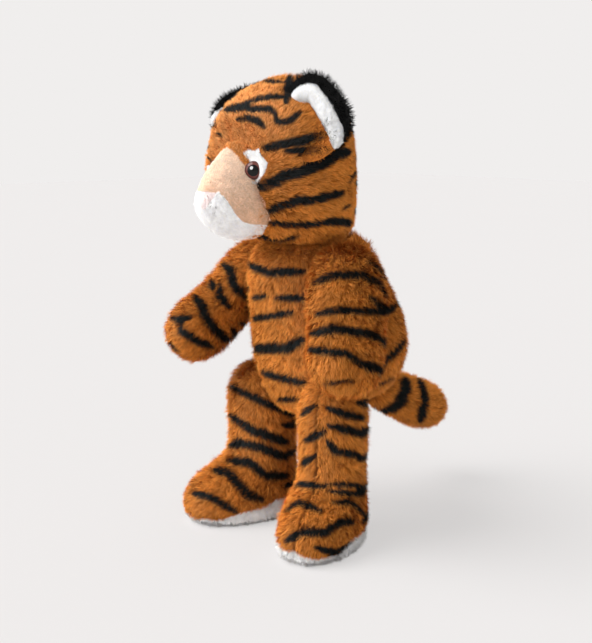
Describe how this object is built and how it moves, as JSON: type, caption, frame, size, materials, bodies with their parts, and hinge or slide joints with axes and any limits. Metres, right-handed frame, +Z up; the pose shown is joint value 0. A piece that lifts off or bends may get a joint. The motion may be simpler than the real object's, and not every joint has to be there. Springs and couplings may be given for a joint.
{
  "type": "jointed plush tiger",
  "caption": "Standing plush tiger with striped fur, a head that turns, arms and legs that swing on disc joints, and a sewn tail.",
  "frame": {"origin": "on the floor, under the middle of the standing tiger's bounds", "axes": "-Y is the way the tiger faces, +X its left side, +Z up"},
  "size_m": [0.2086, 0.306, 0.4066],
  "materials": {
    "orange_fur": "long pile plush, brown orange with black stripes",
    "black_fur": "long pile plush",
    "white_pile": "short pile plush",
    "tan_pile": "short pile plush",
    "pink_flock": "flocked fabric",
    "eye_gloss": "polished, brown iris round a black pupil",
    "joint_plastic": "moulded",
    "polyester_fill": "loose fibre fill"
  },
  "bodies": {
    "torso": {"torso_skin": "orange_fur", "torso_stuffing": "polyester_fill", "neck_washer": "joint_plastic", "left_shoulder_washer": "joint_plastic", "right_shoulder_washer": "joint_plastic", "left_hip_washer": "joint_plastic", "right_hip_washer": "joint_plastic"},
    "head": {"head_skin": "orange_fur", "head_stuffing": "polyester_fill", "nose_bridge": "tan_pile", "snout": "white_pile", "nose": "pink_flock", "left_eye": "eye_gloss", "right_eye": "eye_gloss", "left_eye_washer": "joint_plastic", "right_eye_washer": "joint_plastic", "left_eye_patch": "white_pile", "right_eye_patch": "white_pile", "left_ear": "black_fur", "right_ear": "black_fur", "left_ear_lining": "white_pile", "right_ear_lining": "white_pile", "neck_stem_disc": "joint_plastic", "neck_lock_ring": "joint_plastic"},
    "left_arm": {"left_arm_skin": "orange_fur", "left_arm_stuffing": "polyester_fill", "left_shoulder_stem_disc": "joint_plastic", "left_shoulder_lock_ring": "joint_plastic"},
    "right_arm": {"right_arm_skin": "orange_fur", "right_arm_stuffing": "polyester_fill", "right_shoulder_stem_disc": "joint_plastic", "right_shoulder_lock_ring": "joint_plastic"},
    "left_leg": {"left_leg_skin": "orange_fur", "left_sole": "white_pile", "left_leg_stuffing": "polyester_fill", "left_hip_stem_disc": "joint_plastic", "left_hip_lock_ring": "joint_plastic"},
    "right_leg": {"right_leg_skin": "orange_fur", "right_sole": "white_pile", "right_leg_stuffing": "polyester_fill", "right_hip_stem_disc": "joint_plastic", "right_hip_lock_ring": "joint_plastic"},
    "tail": {"tail_skin": "orange_fur", "tail_stuffing": "polyester_fill"}
  },
  "joints": [
    {"name": "neck_turn", "type": "hinge", "parent": "torso", "child": "head", "pos_m": [-0.0015, -0.03417, 0.265], "axis": [0, 0, 1], "range_deg": [-180, 180]},
    {"name": "left_shoulder_swing", "type": "hinge", "parent": "torso", "child": "left_arm", "pos_m": [0.0415, -0.0475, 0.229], "axis": [-0.9563, 0, -0.2924], "range_deg": [-60, 75]},
    {"name": "right_shoulder_swing", "type": "hinge", "parent": "torso", "child": "right_arm", "pos_m": [-0.0445, -0.0475, 0.229], "axis": [-0.9563, 0, 0.2924], "range_deg": [-80, 55]},
    {"name": "left_hip_swing", "type": "hinge", "parent": "torso", "child": "left_leg", "pos_m": [0.0285, -0.0495, 0.129], "axis": [-0.9135, 0, 0.4067], "range_deg": [-30, 80]},
    {"name": "right_hip_swing", "type": "hinge", "parent": "torso", "child": "right_leg", "pos_m": [-0.0315, -0.0495, 0.129], "axis": [-0.9135, 0, -0.4067], "range_deg": [-30, 80]},
    {"name": "tail_swing", "type": "hinge", "parent": "torso", "child": "tail", "pos_m": [-0.0015, 0.0545, 0.114], "axis": [1, 0, 0], "range_deg": [-25, 30]}
  ]
}
